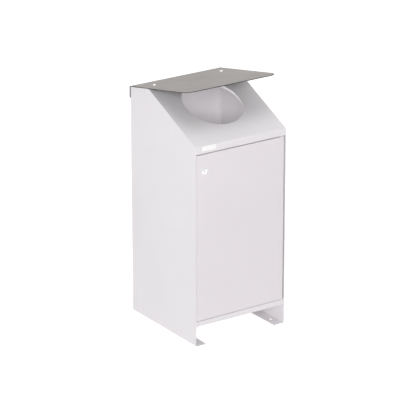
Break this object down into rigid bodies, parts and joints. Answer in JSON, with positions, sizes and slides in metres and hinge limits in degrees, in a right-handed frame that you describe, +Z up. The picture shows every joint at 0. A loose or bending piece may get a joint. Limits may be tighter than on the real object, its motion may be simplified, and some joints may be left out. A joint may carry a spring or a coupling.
{
  "type": "outdoor recycling bin",
  "caption": "Upright sheet steel waste cabinet with pitched rain roof, sloped front with round throw-in opening, side-hung locked door and a lift-out liner.",
  "frame": {"origin": "on the ground under the middle of the overall box", "axes": "+Z up, -Y out of the door side, +X to the right seen from the front"},
  "size_m": [0.456, 0.486, 1.0891],
  "materials": {
    "cabinet_paint": "white grey powder coat",
    "door_paint": "white grey powder coat",
    "roof_paint": "warm grey powder coat",
    "bright_fasteners": "polished stainless",
    "lock_chrome": "bright nickel",
    "zinc_steel": "zinc plated",
    "galvanised": "galvanised",
    "nylon": "natural nylon",
    "black_rubber": "matt"
  },
  "bodies": {
    "cabinet": {"left_side_panel": "cabinet_paint", "right_side_panel": "cabinet_paint", "back_panel": "cabinet_paint", "floor_panel": "cabinet_paint", "hood_panel": "cabinet_paint", "roof_plate": "roof_paint", "roof_bolts": "bright_fasteners", "roof_washers": "zinc_steel", "roof_nuts": "zinc_steel", "lock_jamb": "cabinet_paint", "door_bumpers": "black_rubber", "bottom_hinge_bush": "nylon", "top_hinge_bush": "nylon", "liner": "galvanised", "left_liner_guide": "cabinet_paint", "right_liner_guide": "cabinet_paint", "left_liner_ear": "zinc_steel", "right_liner_ear": "zinc_steel", "liner_ear_rivets": "zinc_steel"},
    "door": {"door_panel": "door_paint", "door_stiffener": "door_paint", "bottom_hinge_pin": "zinc_steel", "top_hinge_pin": "zinc_steel", "lock_barrel": "lock_chrome", "lock_nut": "zinc_steel"},
    "lock": {"lock_core": "lock_chrome", "lock_cam": "zinc_steel", "cam_screw": "zinc_steel"},
    "bail": {"liner_bail": "zinc_steel"}
  },
  "joints": [
    {"name": "door_hinge", "type": "hinge", "parent": "cabinet", "child": "door", "pos_m": [0.209, -0.23, 0.112], "axis": [0, 0, 1], "range_deg": [0, 105]},
    {"name": "lock_turn", "type": "hinge", "parent": "door", "child": "lock", "pos_m": [-0.179, -0.239, 0.763], "axis": [0, 1, 0], "range_deg": [0, 90]},
    {"name": "bail_swing", "type": "hinge", "parent": "cabinet", "child": "bail", "pos_m": [0, 0.015, 0.719], "axis": [-1, 0, 0], "range_deg": [0, 223]}
  ]
}
